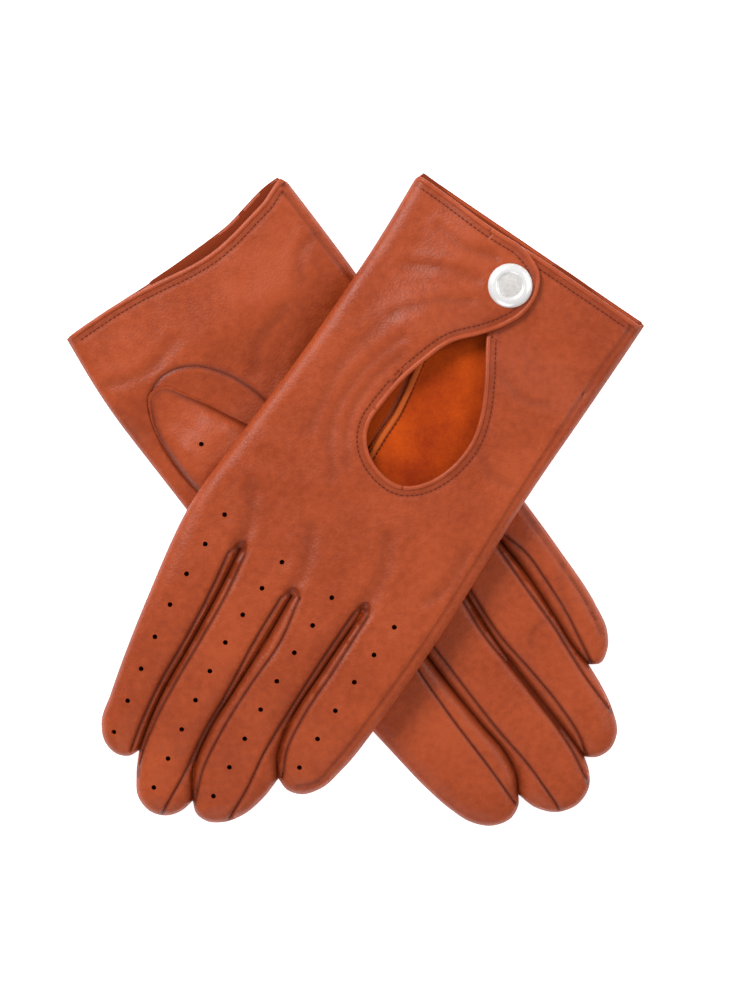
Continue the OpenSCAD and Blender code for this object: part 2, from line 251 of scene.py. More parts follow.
# Soft creases: line, depth and half width
CREASES = {
    "left": [
        ([(-17.5, 52), (-21.5, 66), (-20.5, 82), (-13, 94)], 0.32, 1.5),
        ([(-20.5, 48), (-26, 66), (-24.5, 86), (-15, 100)], 0.26, 1.9),
        ([(-28, 44), (-33, 64), (-30.5, 90)], 0.18, 2.2),
        ([(-9, 8), (-20, 11), (-30, 10)], 0.4, 1.6),
        ([(-10, 18), (-22, 21), (-33, 27)], 0.45, 1.9),
        ([(-8, 25), (-19, 33), (-27, 42)], 0.35, 1.8),
        ([(14, 40), (25, 43), (33, 40)], 0.25, 1.6),
        ([(22, 66), (30, 71), (37, 70)], 0.2, 1.6),
        ([(-28, 137), (-31, 126), (-36, 117)], 0.5, 2.2),
        ([(-5, 140), (-7, 128), (-12, 118)], 0.55, 2.2),
        ([(18, 131), (17, 119), (12, 107)], 0.55, 2.3),
        ([(34, 118), (38, 108), (36, 96)], 0.3, 2.2),
    ],
    "right": [
        ([(-44, 21), (-30, 25), (-16, 22)], 0.35, 2.0),
        ([(6, 60), (14, 52), (26, 50)], 0.3, 2.4),
        ([(-1, 46), (8, 38), (20, 35)], 0.3, 2.2),
        ([(30, 30), (36, 22), (43, 20)], 0.3, 2.0),
        ([(-9.5, 142), (-8, 130), (-10, 118)], 0.5, 2.2),
        ([(14.2, 148), (14, 134), (10, 120)], 0.5, 2.2),
        ([(34.3, 141), (32, 128), (26, 117)], 0.5, 2.2),
        ([(40, 176), (42, 166), (47, 160)], 0.25, 1.2),
        ([(22, 176), (27, 172), (31, 172)], 0.2, 1.1),
    ],
}

# The press stud's cap: radius and height from its rim to its middle, where the satin dish starts,
# and how far its foot is sunk through the lining into the tab's leather
CAP_PROFILE = [
    (6.9, 0.0), (7.35, 0.1), (7.5, 0.35), (7.46, 0.62), (7.2, 0.95), (6.8, 1.22), (6.3, 1.45),
    (5.8, 1.6), (5.3, 1.68), (4.9, 1.69), (4.6, 1.63), (4.4, 1.5), (4.25, 1.36), (4.1, 1.28),
    (3.9, 1.26), (3.2, 1.3), (2.4, 1.36), (1.2, 1.42), (0.0, 1.44),
]
CAP_DISH_FROM = 12
CAP_SEAT = 0.5

# The camera and the table
CAMERA_LENS = 100
CAMERA_HEIGHT = 0.9506
CAMERA_ASIDE = (0.0033, 0.00195)
TABLE_HALF = 3.0
TABLE_GAP = 0.0002
# Lights: place, size and power. All of them look at the middle of the pair.
LAMPS = {
    "key": ((-0.55, 0.75, 0.9), 0.6, 13),
    "fill": ((0.8, 0.3, 0.8), 0.7, 3.5),
    "front": ((-0.2, -0.8, 0.7), 0.8, 2.2),
}
LOOKED_AT = (0, 0, 0.01)
ROOM_LIGHT = 0.36


# ---------------------------------------------------------------- lines in the plan

def even(line, step):
    """The same line with its points an even step apart."""
    run = np.concatenate([[0], np.cumsum(np.linalg.norm(np.diff(line, axis=0), axis=1))])
    count = max(2, int(round(run[-1] / step)) + 1)
    at = np.linspace(0, run[-1], count)
    return np.column_stack([np.interp(at, run, line[:, k]) for k in range(line.shape[1])])


def smooth_line(points, step=1.2, closed=False):
    """A smooth line through the points."""
    p = np.array(points, float)
    if closed:
        p = np.vstack([p[-1:], p, p[:2]])
    gap = np.linalg.norm(np.diff(p, axis=0), axis=1)
    slope = np.diff(p, axis=0) / gap[:, None]
    tangent = np.vstack([slope[:1], slope[-1:]])
    if len(p) > 2:
        inner = (slope[:-1] * gap[1:, None] + slope[1:] * gap[:-1, None]) / (gap[:-1] + gap[1:])[:, None]
        tangent = np.vstack([slope[:1], inner, slope[-1:]])
    pieces = []
    t = np.linspace(0, 1, 25)[:-1, None]
    first, last = (1, len(p) - 2) if closed else (0, len(p) - 1)
    for i in range(first, last):
        a, b = p[i], p[i + 1]
        ta, tb = tangent[i] * gap[i], tangent[i + 1] * gap[i]
        pieces.append(
            a * (2 * t**3 - 3 * t**2 + 1) + ta * (t**3 - 2 * t**2 + t)
            + b * (3 * t**2 - 2 * t**3) + tb * (t**3 - t**2)
        )
    pieces.append(p[last:last + 1])
    return even(np.vstack(pieces), step)


def cubic(corner, one, two, end, count=40):
    """A curve from corner to end, drawn towards its two handles."""
    t = np.linspace(0, 1, count)[:, None]
    a, b, c, d = (np.array(q, float) for q in (corner, one, two, end))
    return a * (1 - t)**3 + 3 * b * t * (1 - t)**2 + 3 * c * t * t * (1 - t) + d * t**3


def distance(points, *lines):
    """Distance from each point to the nearest of the lines."""
    best = np.full(len(points), 1e9)
    for line in lines:
        start, along = line[:-1], np.diff(line, axis=0)
        length = (along**2).sum(1) + 1e-12
        for i in range(0, len(points), 2000):
            rel = points[i:i + 2000, None] - start[None]
            t = np.clip((rel * along).sum(2) / length, 0, 1)
            away = rel - t[..., None] * along
            best[i:i + 2000] = np.minimum(best[i:i + 2000], np.sqrt((away**2).sum(2)).min(1))
    return best


def inside(points, loop):
    """Which points lie inside a closed line."""
    x, y = points[:, 0][:, None], points[:, 1][:, None]
    ax, ay = loop[:, 0][None], loop[:, 1][None]
    bx, by = np.roll(loop[:, 0], -1)[None], np.roll(loop[:, 1], -1)[None]
    crosses = (ay > y) != (by > y)
    span = np.where(by == ay, 1e-9, by - ay)
    return (crosses & (x < (bx - ax) * (y - ay) / span + ax)).sum(1) % 2 == 1


def beside(line, gap):
    """The line moved sideways by gap."""
    slope = np.gradient(line, axis=0)
    slope /= np.linalg.norm(slope, axis=1)[:, None] + 1e-9
    return line + gap * np.column_stack([-slope[:, 1], slope[:, 0]])


def ease(x, low, high):
    """A soft step from 0 at low to 1 at high."""
    t = np.clip((x - low) / (high - low), 0, 1)
    return t * t * (3 - 2 * t)


def ripple(points, size, seed):
    """Seeded low noise between about -1 and 1, with waves of the given size."""
    draw = np.random.default_rng(seed)
    total = np.zeros(len(points))
    for _ in range(14):
        turn = draw.uniform(0, 2 * math.pi)
        wave = 2 * math.pi / (size * draw.uniform(0.7, 1.5))
        across = points @ [math.cos(turn), math.sin(turn)]
        total += np.cos(wave * across + draw.uniform(0, 2 * math.pi))
    return total / 4.5


def plan_mesh(loop, holes, lines, rows, spacing):
    """Triangles that fill a closed line in the plan, with points on the lines and rows."""
    taken, points, edges = {}, [], []

    def crowded(p, gap):
        cell = (int(p[0] // 1), int(p[1] // 1))
        for i in range(cell[0] - 1, cell[0] + 2):
            for j in range(cell[1] - 1, cell[1] + 2):
                for q in taken.get((i, j), ()):
                    if (p[0] - q[0])**2 + (p[1] - q[1])**2 < gap * gap:
                        return True
        return False

    def put(p):
        taken.setdefault((int(p[0] // 1), int(p[1] // 1)), []).append(p)
        points.append(p)
        return len(points) - 1

    for line, closed in [(loop, True)] + [(h, True) for h in holes] + [(q, False) for q in lines]:
        made = [put(p) for p in line]
        edges += list(zip(made[:-1], made[1:]))
        if closed:
            edges.append((made[-1], made[0]))
    for row in rows:
        for p in row:
            if not crowded(p, ROW_GAP):
                put(p)
    low, high = loop.min(0), loop.max(0)
    across = np.arange(low[0], high[0], spacing)
    up = np.arange(low[1], high[1], spacing * 0.866)
    grid = np.array([(x + (k % 2) * spacing / 2, y) for k, y in enumerate(up) for x in across])
    for p in grid[inside(grid, loop)]:
        if not crowded(p, min(GRID_GAP, spacing * 0.72)):
            put(p)
    made = delaunay_2d_cdt([tuple(map(float, p)) for p in points], edges, [], 0, 1e-5)
    flat = np.array([tuple(p) for p in made[0]])
    tris = np.array([f for f in made[2] if len(f) == 3])
    middle = flat[tris].mean(1)
    keep = inside(middle, loop)
    for h in holes:
        keep &= ~inside(middle, h)
    a, b, c = (flat[tris[:, k]] for k in range(3))
    area = (b[:, 0] - a[:, 0]) * (c[:, 1] - a[:, 1]) - (b[:, 1] - a[:, 1]) * (c[:, 0] - a[:, 0])
    keep &= np.abs(area) > 1e-5
    tris = np.where((area < 0)[:, None], tris[:, ::-1], tris)[keep]
    return flat, tris


# ---------------------------------------------------------------- the two gloves' places

class Glove:
    """One glove's lines, and the way from its own frame to the shared one."""

    def __init__(self, side):
        hinge = next(j for j in frame["joints"] if j["name"] == side + "_tab_hinge")
        self.side = side
        self.body = side + "_glove"
        self.flap = side + "_tab_flap"
        self.flipped = side == "right"
        up = np.array(hinge["axis"][:2], float) * (-1 if self.flipped else 1)
        self.up = up / np.linalg.norm(up)
        self.across = np.array([-self.up[1], self.up[0]])
        pin = np.array(hinge["pos_m"][:2]) / MM
        self.origin = pin - HINGE_AT[0] * self.across - HINGE_AT[1] * self.up
        self.lay = np.array(LAY[side], float)
        self.runs = [smooth_line(run) for run in OUTLINE[side]]
        self.rim = np.vstack([self.runs[0]] + [run[1:] for run in self.runs[1:]])
        self.valleys = [smooth_line(line) for line in VALLEYS[side]]
        self.seams = [(i, smooth_line(line)) for i, line in SEAMS[side]]
        self.side_seam = smooth_line(SIDE_SEAM[side])
        self.crotches = [self.crotch(i) for i in range(3)]
        self.creases = [(smooth_line(line, 2), depth, wide) for line, depth, wide in CREASES[side]]

    def crotch(self, i):
        """The seam's turn round the crotch, from one side of a strip to the other."""
        left, right = (line[0] for k, line in self.seams if k == i)
        top = self.valleys[i][0] - [0, 2.8]
        return smooth_line([tuple(left), tuple(top), tuple(right)], 0.6)

    def height_under(self, u):
        """The smooth height of the glove's underside."""
        shifts = np.linspace(-7, 7, 9)
        return sum(np.interp(u + s, self.lay[:, 0], self.lay[:, 1]) for s in shifts) / len(shifts)

    def place(self, v, u, z):
        """Points of the glove in the shared frame, in metres."""
        v, u, z = (np.asarray(q, float) for q in (v, u, z))
        flat = self.origin + v[:, None] * self.across + u[:, None] * self.up
        z = z + self.height_under(u)
        if self.flipped:
            z = THICK - z
        return np.column_stack([flat, z]) * MM


GLOVES = {side: Glove(side) for side in SIDES}


def key_line(curve, step=1.1):
    """One of the keyhole's four curves in the plan."""
    (v, u), (wide, tall) = KEYHOLE_AT, KEYHOLE_SIZE
    return even(cubic(*[(v + x * wide, u + y * tall) for x, y in curve]), step)


def opening_edge():
    """The tab's free edge, then the keyhole from its left side round to its point."""
    left = key_line(KEYHOLE_CURVES[0])
    left = left[left[:, 1] > 52]
    start = smooth_line(TAB_EDGE + [tuple(p) for p in left[::6]] + [tuple(left[-1])], 1.1)
    rest = np.vstack([key_line(c)[1:] for c in KEYHOLE_CURVES[1:]])
    whole = even(np.vstack([start, rest]), 1.1)
    past_tab = np.arange(len(whole)) > len(whole) // 2
    kept = whole[~(past_tab & (whole[:, 1] < JOIN_U + 0.8))]
    return np.vstack([kept, [KEYHOLE_POINT]])


OPENING = opening_edge()


# ---------------------------------------------------------------- how the leather stands

def cuff_line(face, side):
    """How far the cuff's edge is cut in at each v."""
    def dip(v):
        if side == "right" and face == "palm":
            hollow = 4.9 * np.exp(-((v - 10) / 23)**2) * (1 - (np.abs(v) / CUFF_HALF)**6)
            return hollow + 0.2 - 2.2 * ease(v, 34, 45)
        if side == "right":
            return 0.6 * np.cos(v / 15) * (1 - (v / CUFF_HALF)**2) - 3.4 * ease(v, 18, 42)
        slant = -1.3 + 2.6 * (v + CUFF_HALF) / (2 * CUFF_HALF)
        if face == "back":
            return slant + 1.1 * np.exp(-((v + 16) / 14)**2)
        return slant - 1.9
    return dip


def relief(edge):
    """The turned edge: a groove beside the rolled strip, a soft ridge, and the stitched line."""
    return (
        -0.6 * np.exp(-((edge - GROOVE_AT) / 0.3)**2)
        + 0.2 * np.exp(-((edge - 2.4) / 0.4)**2)
        - 0.24 * np.exp(-((edge - HEM_STITCH_AT) / 0.36)**2)
        + 0.10 * np.exp(-((edge - 3.9) / 0.5)**2)
    )


def swell(glove, points, top):
    """How far the leather stands out from the glove's middle, from its rims and valleys."""
    rim = distance(points, glove.rim)
    finger = ease(points[:, 1], 116, 152)
    high = MIDDLE + (0.85 * finger if top else 0)
    near = rim / (5.0 + 2.0 * finger)
    valley = np.full(len(points), 1e9)
    for line in glove.valleys:
        away = distance(points, line)
        beyond = points[:, 0] > np.interp(points[:, 1], line[:, 1], line[:, 0])
        tight = beyond != glove.flipped
        near = np.minimum(near, away / np.where(tight, TIGHT_ROLL, WIDE_ROLL))
        valley = np.minimum(valley, away)
    shape = high * np.sqrt(np.clip(1 - (1 - np.minimum(near, 1))**2, 0, 1))
    floor = 0.48 * np.clip(rim / 2, 0, 1)
    return np.maximum(shape, floor), rim, valley


def lift(glove, points, low_side):
    """The tab's side of the opening stands over the little finger's side."""
    v, u = points[:, 0], points[:, 1]
    fade = (24, 42) if glove.flipped else (36, 72)
    rise = ease(v, -36, -16) * (1 - ease(u, *fade))
    droop = 0.8 * np.exp(-(distance(points, OPENING) / 2.6)**2) * ease(v, -14, -4)
    return np.where(low_side, 0, TAB_LIFT * rise - droop * (rise > 0.5))


def leather_height(glove, points, face, top, low_side=None, edge_lines=None):
    """z of the outer face, and the mark that the finish darkens: painted shade in valleys, creases and
    grooves, and the dark seams.
    """
    out, rim, valley = swell(glove, points, top)
    v, u = points[:, 0], points[:, 1]
    soft = np.clip(rim / 6, 0, 1)
    seed = 11 if glove.side == "left" else 29
    out += soft * (0.20 * ripple(points, 34, seed) + 0.09 * ripple(points, 13, seed + 1))
    knuckle = ease(u, 60, 120)
    stretched = points * [1.0, 0.45]
    out += soft * (0.035 + 0.03 * knuckle) * ripple(stretched, 4.5, seed + 2)
    # Painted shade: the leather is darkened in the valleys between the fingers, where shade falls.
    painted_shade_and_seam = 0.9 * np.exp(-(valley / 0.9)**2) + 0.25 * np.exp(-(valley / 2.6)**2)
    if top:
        for line, depth, wide in glove.creases:
            away = distance(points, line)
            out -= soft * depth * np.exp(-(away / wide)**2)
            out += soft * 0.4 * depth * np.exp(-((away - 1.9 * wide) / wide)**2)
            # Painted shade darkens each crease.
            painted_shade_and_seam += 0.25 * np.exp(-(away / wide)**2)
    seams = [line for _, line in glove.seams] + [glove.side_seam] + glove.crotches
    away = distance(points, *seams)
    out -= 0.65 * np.exp(-(away / 0.36)**2)
    out += 0.24 * np.exp(-((away - 1.0) / 0.45)**2)
    # Seams darken: partly the seam's own dark line, partly painted shade in its groove.
    painted_shade_and_seam += np.exp(-(away / 0.4)**2)
    if edge_lines is not None:
        edge = distance(points, *edge_lines)
        out += relief(edge)
        # Painted shade in the groove beside the rolled strip; the stitched line darkens as a seam.
        groove = 0.9 * np.exp(-((edge - GROOVE_AT) / 0.3)**2)
        sewn = 0.3 * np.exp(-((edge - HEM_STITCH_AT) / 0.4)**2)
        painted_shade_and_seam += groove + sewn
    if face == "palm":
        root = smooth_line(THUMB_ROOT[glove.side], closed=True)
        away = distance(points, root)
        out -= 0.5 * np.exp(-(away / 0.5)**2)
        out += 0.2 * np.exp(-((away - 1.3) / 0.6)**2)
        # The thumb's root darkens: partly its seam, partly painted shade in its groove.
        painted_shade_and_seam += 0.8 * np.exp(-(away / 0.6)**2)
    if not top:
        out = np.minimum(out, MIDDLE)
    z = MIDDLE + out if face == "back" else MIDDLE - out
    if face == "back" and low_side is not None:
        z = z + lift(glove, points, low_side)
    return z, np.clip(painted_shade_and_seam, 0, 1)


def show(name, data):
    """A mesh, lamp or lens as an object of the scene."""
    piece = bpy.data.objects.new(name, data)
    bpy.context.scene.collection.objects.link(piece)
    return piece


def make_piece(name, glove, flat, z, tris, painted_shade_and_seam, up, materials, thick=LEATHER):
    """A leather piece from plan points and heights. up says that the outer face looks along +z."""
    used = np.unique(tris)
    order = np.full(len(flat), -1)
    order[used] = np.arange(len(used))
    tris = order[tris]
    where = glove.place(flat[used, 0], flat[used, 1], z[used])
    if up == (glove.side == "left"):
        tris = tris[:, ::-1]
    mesh = bpy.data.meshes.new(name)
    mesh.from_pydata(where.tolist(), [], tris.tolist())
    # The turned-in hem near the cuff: its own tan leather, painted dark with the shade inside the cuff.
    hem_and_painted_shade = 1 - ease(flat[:, 1], TURNED_IN, TURNED_IN + 1.5)
    # The mark of painted shade and dark seams goes on the mesh for the finish.
    for mark, values in (("painted_shade_and_seam", painted_shade_and_seam), ("hem_and_painted_shade", hem_and_painted_shade)):
        kept = mesh.attributes.new(mark, "FLOAT", "POINT")
        kept.data.foreach_set("value", values[used].astype(np.float32))
    mesh.polygons.foreach_set("use_smooth", [True] * len(mesh.polygons))
    piece = show(name, mesh)
    for m in materials:
        mesh.materials.append(m)
    wall = piece.modifiers.new("wall", "SOLIDIFY")
    wall.thickness = thick * MM
    wall.offset = -1
    wall.use_even_offset = False
    wall.material_offset = 1 if len(materials) > 1 else 0
    wall.material_offset_rim = 0
    crisp = piece.modifiers.new("crisp", "EDGE_SPLIT")
    crisp.split_angle = math.radians(72)
    return piece


def sweep(name, glove, line, z, half_wide, half_high, material, sides=10):
    """A rounded strip along a line in the plan."""
    slope = np.gradient(line, axis=0)
    slope /= np.linalg.norm(slope, axis=1)[:, None] + 1e-9
    side = np.column_stack([-slope[:, 1], slope[:, 0]])
    turn = np.linspace(0, 2 * math.pi, sides, endpoint=False)
    rings = []
    for k, p in enumerate(line):
        flat = p + np.outer(np.cos(turn) * half_wide, side[k])
        rings.append(np.column_stack([flat, z[k] + np.sin(turn) * half_high]))
    points = np.vstack(rings)
    faces = []
    for a in range(0, (len(line) - 1) * sides, sides):
        for i in range(sides):
            j = (i + 1) % sides
            faces.append((a + i, a + j, a + sides + j, a + sides + i))
    faces.append(tuple(range(sides)))
    faces.append(tuple(reversed(range((len(line) - 1) * sides, len(line) * sides))))
    return solid(name, glove, points, faces, material)


def solid(name, glove, points, faces, material):
    """A closed piece from points in the glove's frame, with its faces turned outwards."""
    where = glove.place(points[:, 0], points[:, 1], points[:, 2])
    mesh = bpy.data.meshes.new(name)
    mesh.from_pydata(where.tolist(), [], faces)
    turn_outwards(mesh)
    mesh.polygons.foreach_set("use_smooth", [True] * len(mesh.polygons))
    mesh.materials.append(material)
    return show(name, mesh)


def turn_outwards(mesh):
    """All faces of a closed mesh turned to look outwards."""
    work = bmesh.new()
    work.from_mesh(mesh)
    bmesh.ops.recalc_face_normals(work, faces=work.faces)
    work.to_mesh(mesh)
    work.free()


def stitch_row(name, glove, line, height_of):
    """Short rounded stitches along a line, lying on the leather."""
    line = even(line, STITCH_PITCH)
    z = height_of(line)
    slope = np.gradient(np.column_stack([line, z]), axis=0)
    slope /= np.linalg.norm(slope, axis=1)[:, None] + 1e-9
    sides = STITCH_SIDES
    turn = np.linspace(0, 2 * math.pi, sides, endpoint=False)
    points, faces = [], []
    for k in range(len(line)):
        along = slope[k]
        side = np.array([-along[1], along[0], 0])
        side /= np.linalg.norm(side)
        over = np.cross(along, side)
        base = len(points)
        middle = np.array([*line[k], z[k]])
        for s, r in zip(STITCH_RUN, STITCH_THICK):
            for a in turn:
                points.append(middle + along * s + side * r * math.cos(a) + over * r * math.sin(a))
        last = base + (len(STITCH_RUN) - 1) * sides
        for a in range(base, last, sides):
            for j in range(sides):
                n = (j + 1) % sides
                faces.append((a + j, a + n, a + sides + n, a + sides + j))
        faces.append(tuple(base + j for j in range(sides)))
        faces.append(tuple(last + j for j in reversed(range(sides))))
    return solid(name, glove, np.array(points), faces, THREAD)


def join(name, pieces):
    """Several meshes made into one piece."""
    work = bmesh.new()
    for p in pieces:
        work.from_mesh(p.data)
    mesh = bpy.data.meshes.new(name)
    work.to_mesh(mesh)
    work.free()
    for m in pieces[0].data.materials:
        mesh.materials.append(m)
    for p in pieces:
        bpy.data.objects.remove(p)
    return show(name, mesh)


# ---------------------------------------------------------------- finishes

def maths(nodes, links, what, a, b=None, c=None):
    """A sum or product of values and sockets."""
    node = nodes.new("ShaderNodeMath")
    node.operation = what
    for k, x in enumerate((a, b, c)):
        if x is None:
            continue
        if isinstance(x, (int, float)):
            node.inputs[k].default_value = x
        else:
            links.new(x, node.inputs[k])
    return node.outputs[0]


def noise(nodes, links, where, scale, detail, rough=0.55):
    """Cloudy noise, its scale a number or a socket."""
    node = nodes.new("ShaderNodeTexNoise")
    links.new(where, node.inputs["Vector"])
    if isinstance(scale, (int, float)):
        node.inputs["Scale"].default_value = scale
    else:
        links.new(scale, node.inputs["Scale"])
    node.inputs["Detail"].default_value = detail
    node.inputs["Roughness"].default_value = rough
    return node.outputs["Fac"]


def grain_group():
    """Leather grain: fine pebbles and pores in Height, soft mottling in Tone."""
    group = bpy.data.node_groups.new("leather_grain", "ShaderNodeTree")
    sockets = group.interface
    sockets.new_socket(name="Vector", in_out="INPUT", socket_type="NodeSocketVector")
    for name in ("Pebble Scale", "Wrinkle Scale"):
        sockets.new_socket(name=name, in_out="INPUT", socket_type="NodeSocketFloat")
    for name in ("Height", "Tone"):
        sockets.new_socket(name=name, in_out="OUTPUT", socket_type="NodeSocketFloat")
    nodes, links = group.nodes, group.links
    given, put = nodes.new("NodeGroupInput"), nodes.new("NodeGroupOutput")
    cells = nodes.new("ShaderNodeTexVoronoi")
    cells.feature = "SMOOTH_F1"
    cells.inputs["Smoothness"].default_value = 0.6
    links.new(given.outputs["Vector"], cells.inputs["Vector"])
    links.new(given.outputs["Pebble Scale"], cells.inputs["Scale"])
    pores = noise(nodes, links, given.outputs["Vector"], 3200.0, 2.0)
    wrinkles = noise(nodes, links, given.outputs["Vector"], given.outputs["Wrinkle Scale"], 4.0, 0.6)
    pebbles = maths(nodes, links, "MULTIPLY", cells.outputs["Distance"], -0.55)
    fine = maths(nodes, links, "MULTIPLY_ADD", pores, 0.35, pebbles)
    height = maths(nodes, links, "MULTIPLY_ADD", wrinkles, 0.55, fine)
    links.new(height, put.inputs["Height"])
    broad = noise(nodes, links, given.outputs["Vector"], 34.0, 3.0)
    small = noise(nodes, links, given.outputs["Vector"], 420.0, 3.0)
    half = maths(nodes, links, "MULTIPLY", small, 0.4)
    links.new(maths(nodes, links, "MULTIPLY_ADD", broad, 0.6, half), put.inputs["Tone"])
    return group


GRAIN = grain_group()


def new_finish(name):
    """A material with only its shader, and the place on the piece to draw patterns from."""
    finish = bpy.data.materials.new(name)
    finish.use_nodes = True
    finish.node_tree.nodes.clear()
    nodes, links = finish.node_tree.nodes, finish.node_tree.links
    shader = nodes.new("ShaderNodeBsdfPrincipled")
    out = nodes.new("ShaderNodeOutputMaterial")
    links.new(shader.outputs["BSDF"], out.inputs["Surface"])
    where = nodes.new("ShaderNodeTexCoord").outputs["Object"]
    return finish, nodes, links, shader, where


def blend_colours(nodes, links, share, one, two):
    """One colour into another, by a share that changes over the surface."""
    mix = nodes.new("ShaderNodeMix")
    mix.data_type = "RGBA"
    for socket, value in ((mix.inputs[6], one), (mix.inputs[7], two)):
        if isinstance(value, tuple):
            socket.default_value = (*value, 1)
        else:
            links.new(value, socket)
    links.new(share, mix.inputs[0])
    return mix.outputs[2]


def mark_value(nodes, name):
    """A mark that the mesh carries."""
    node = nodes.new("ShaderNodeAttribute")
    node.attribute_name = name
    return node.outputs["Fac"]


def spread(nodes, links, value, low, high, to_low=0.0, to_high=1.0):
    """A value's range from low to high, spread over another range."""
    node = nodes.new("ShaderNodeMapRange")
    links.new(value, node.inputs["Value"])
    for name, x in (("From Min", low), ("From Max", high), ("To Min", to_low), ("To Max", to_high)):
        node.inputs[name].default_value = x
    return node.outputs["Result"]


def emboss(nodes, links, shader, height, strength, deep):
    """Bumps of the given height on the surface."""
    bump = nodes.new("ShaderNodeBump")
    bump.inputs["Strength"].default_value = strength
    bump.inputs["Distance"].default_value = deep
    links.new(height, bump.inputs["Height"])
    links.new(bump.outputs["Normal"], shader.inputs["Normal"])


def leather_finish(name, light, dark, painted_shade_and_seam, rough=(0.37, 0.5), depth=0.6):
    """Smooth dyed leather with fine grain and mottled dye, darkened by the mark with painted shade in
    valleys, creases and grooves and along dark seams.
    """
    finish, nodes, links, shader, where = new_finish(name)
    grain = nodes.new("ShaderNodeGroup")
    grain.node_tree = GRAIN
    links.new(where, grain.inputs["Vector"])
    grain.inputs["Pebble Scale"].default_value = 1150.0
    grain.inputs["Wrinkle Scale"].default_value = 210.0
    tone = spread(nodes, links, grain.outputs["Tone"], 0.38, 0.62)
    dyed = blend_colours(nodes, links, tone, dark, light)
    # Painted shade: valleys, creases, grooves and seams are blended towards the dark colour.
    folded = maths(nodes, links, "MULTIPLY", mark_value(nodes, "painted_shade_and_seam"), 0.8)
    links.new(blend_colours(nodes, links, folded, dyed, painted_shade_and_seam), shader.inputs["Base Color"])
    links.new(spread(nodes, links, grain.outputs["Tone"], 0.3, 0.7, *rough), shader.inputs["Roughness"])
    emboss(nodes, links, shader, grain.outputs["Height"], depth, 0.00026)
    shader.inputs["Specular IOR Level"].default_value = 0.3
    shader.inputs["Coat Weight"].default_value = 0.03
    shader.inputs["Coat Roughness"].default_value = 0.3
    return finish


def suede_finish():
    """The napped inner face of the leather; where the cuff's edge is turned in it is smooth tan leather,
    painted dark with the shade inside the cuff.
    """
    finish, nodes, links, shader, where = new_finish("suede_inside")
    nap = noise(nodes, links, where, 900.0, 5.0, 0.7)
    cloud = noise(nodes, links, where, 60.0, 3.0)
    share = spread(nodes, links, maths(nodes, links, "MULTIPLY_ADD", nap, 0.45, cloud), 0.5, 0.95)
    colour = blend_colours(nodes, links, share, (0.30, 0.026, 0.001), (0.56, 0.070, 0.002))
    hem_and_painted_shade = mark_value(nodes, "hem_and_painted_shade")
    # Turned-in hem: tan leather darkened further as painted shade inside the cuff.
    colour = blend_colours(nodes, links, hem_and_painted_shade, colour, (0.24, 0.034, 0.008))
    links.new(colour, shader.inputs["Base Color"])
    links.new(spread(nodes, links, nap, 0.3, 0.7, 0.86, 0.98), shader.inputs["Roughness"])
    emboss(nodes, links, shader, nap, 0.6, 0.0003)
    shader.inputs["Specular IOR Level"].default_value = 0.15
    shader.inputs["Sheen Weight"].default_value = 0.08
    shader.inputs["Sheen Roughness"].default_value = 0.5
    return finish


def thread_finish():
    """Twisted brown sewing thread."""
    finish, nodes, links, shader, where = new_finish("thread")
    twist = noise(nodes, links, where, 2600.0, 2.0)
    colour = blend_colours(nodes, links, twist, (0.13, 0.018, 0.006), (0.24, 0.034, 0.010))
    links.new(colour, shader.inputs["Base Color"])
    links.new(spread(nodes, links, twist, 0.3, 0.7, 0.5, 0.7), shader.inputs["Roughness"])
    shader.inputs["Specular IOR Level"].default_value = 0.2
    emboss(nodes, links, shader, twist, 0.4, 0.0001)
    return finish


def metal_finish(name, colour, rough, streak, metallic):
    """Plated metal with faint handling marks."""
    finish, nodes, links, shader, where = new_finish(name)
    marks = noise(nodes, links, where, streak, 4.0, 0.6)
    darker = tuple(0.93 * c for c in colour)
    links.new(blend_colours(nodes, links, marks, darker, colour), shader.inputs["Base Color"])
    worn = spread(nodes, links, marks, 0.3, 0.7, rough * 0.8, rough * 1.3)
    links.new(worn, shader.inputs["Roughness"])
    shader.inputs["Metallic"].default_value = metallic
    emboss(nodes, links, shader, marks, 0.06, 0.0001)
    return finish


# The third colour of each leather is the dark one for painted shade and seams.
TAN = leather_finish("tan_leather", (0.425, 0.067, 0.014), (0.315, 0.044, 0.008), (0.060, 0.006, 0.002))
# A lighter copy of the tan leather for the rolled edges: painted highlight where light catches the
# rolls.
EDGE_TAN_PAINTED_HIGHLIGHT = leather_finish("turned_edge_leather_painted_highlight", (0.47, 0.080, 0.022), (0.36, 0.056, 0.014),
                          (0.12, 0.014, 0.005), (0.34, 0.48), 0.35)
SEAM_TAN = leather_finish("inner_seam_leather", (0.58, 0.105, 0.012), (0.46, 0.075, 0.008),
                          (0.12, 0.014, 0.005), (0.7, 0.85), 0.4)
SUEDE = suede_finish()
THREAD = thread_finish()
# The ring's plating is mostly diffuse white: painted reflection standing in for the bright room mirrored
# in it.
CHROME_PAINTED_REFLECTION = metal_finish("bright_plating_painted_reflection", (0.97, 0.96, 0.95), 0.22, 300.0, 0.35)
SATIN = metal_finish("satin_plating", (0.86, 0.83, 0.80), 0.36, 900.0, 0.6)
STUD_METAL = metal_finish("stud_plating", (0.78, 0.77, 0.75), 0.25, 500.0, 1.0)


# ---------------------------------------------------------------- making the gloves

def ring(at, count=12):
    """The edge of a round perforation."""
    turn = np.linspace(0, 2 * math.pi, count, endpoint=False)
    return np.column_stack([at[0] + HOLE_R * np.cos(turn), at[1] + HOLE_R * np.sin(turn)])


def punched(rows):
    """The perforations along the fingers."""
    holes = []
    for line, count in rows:
        run = even(np.array(smooth_line(line, 1.0)), 0.25)
        at = np.linspace(0, len(run) - 1, count).round().astype(int)
        holes += [ring(run[k]) for k in at]
    return holes


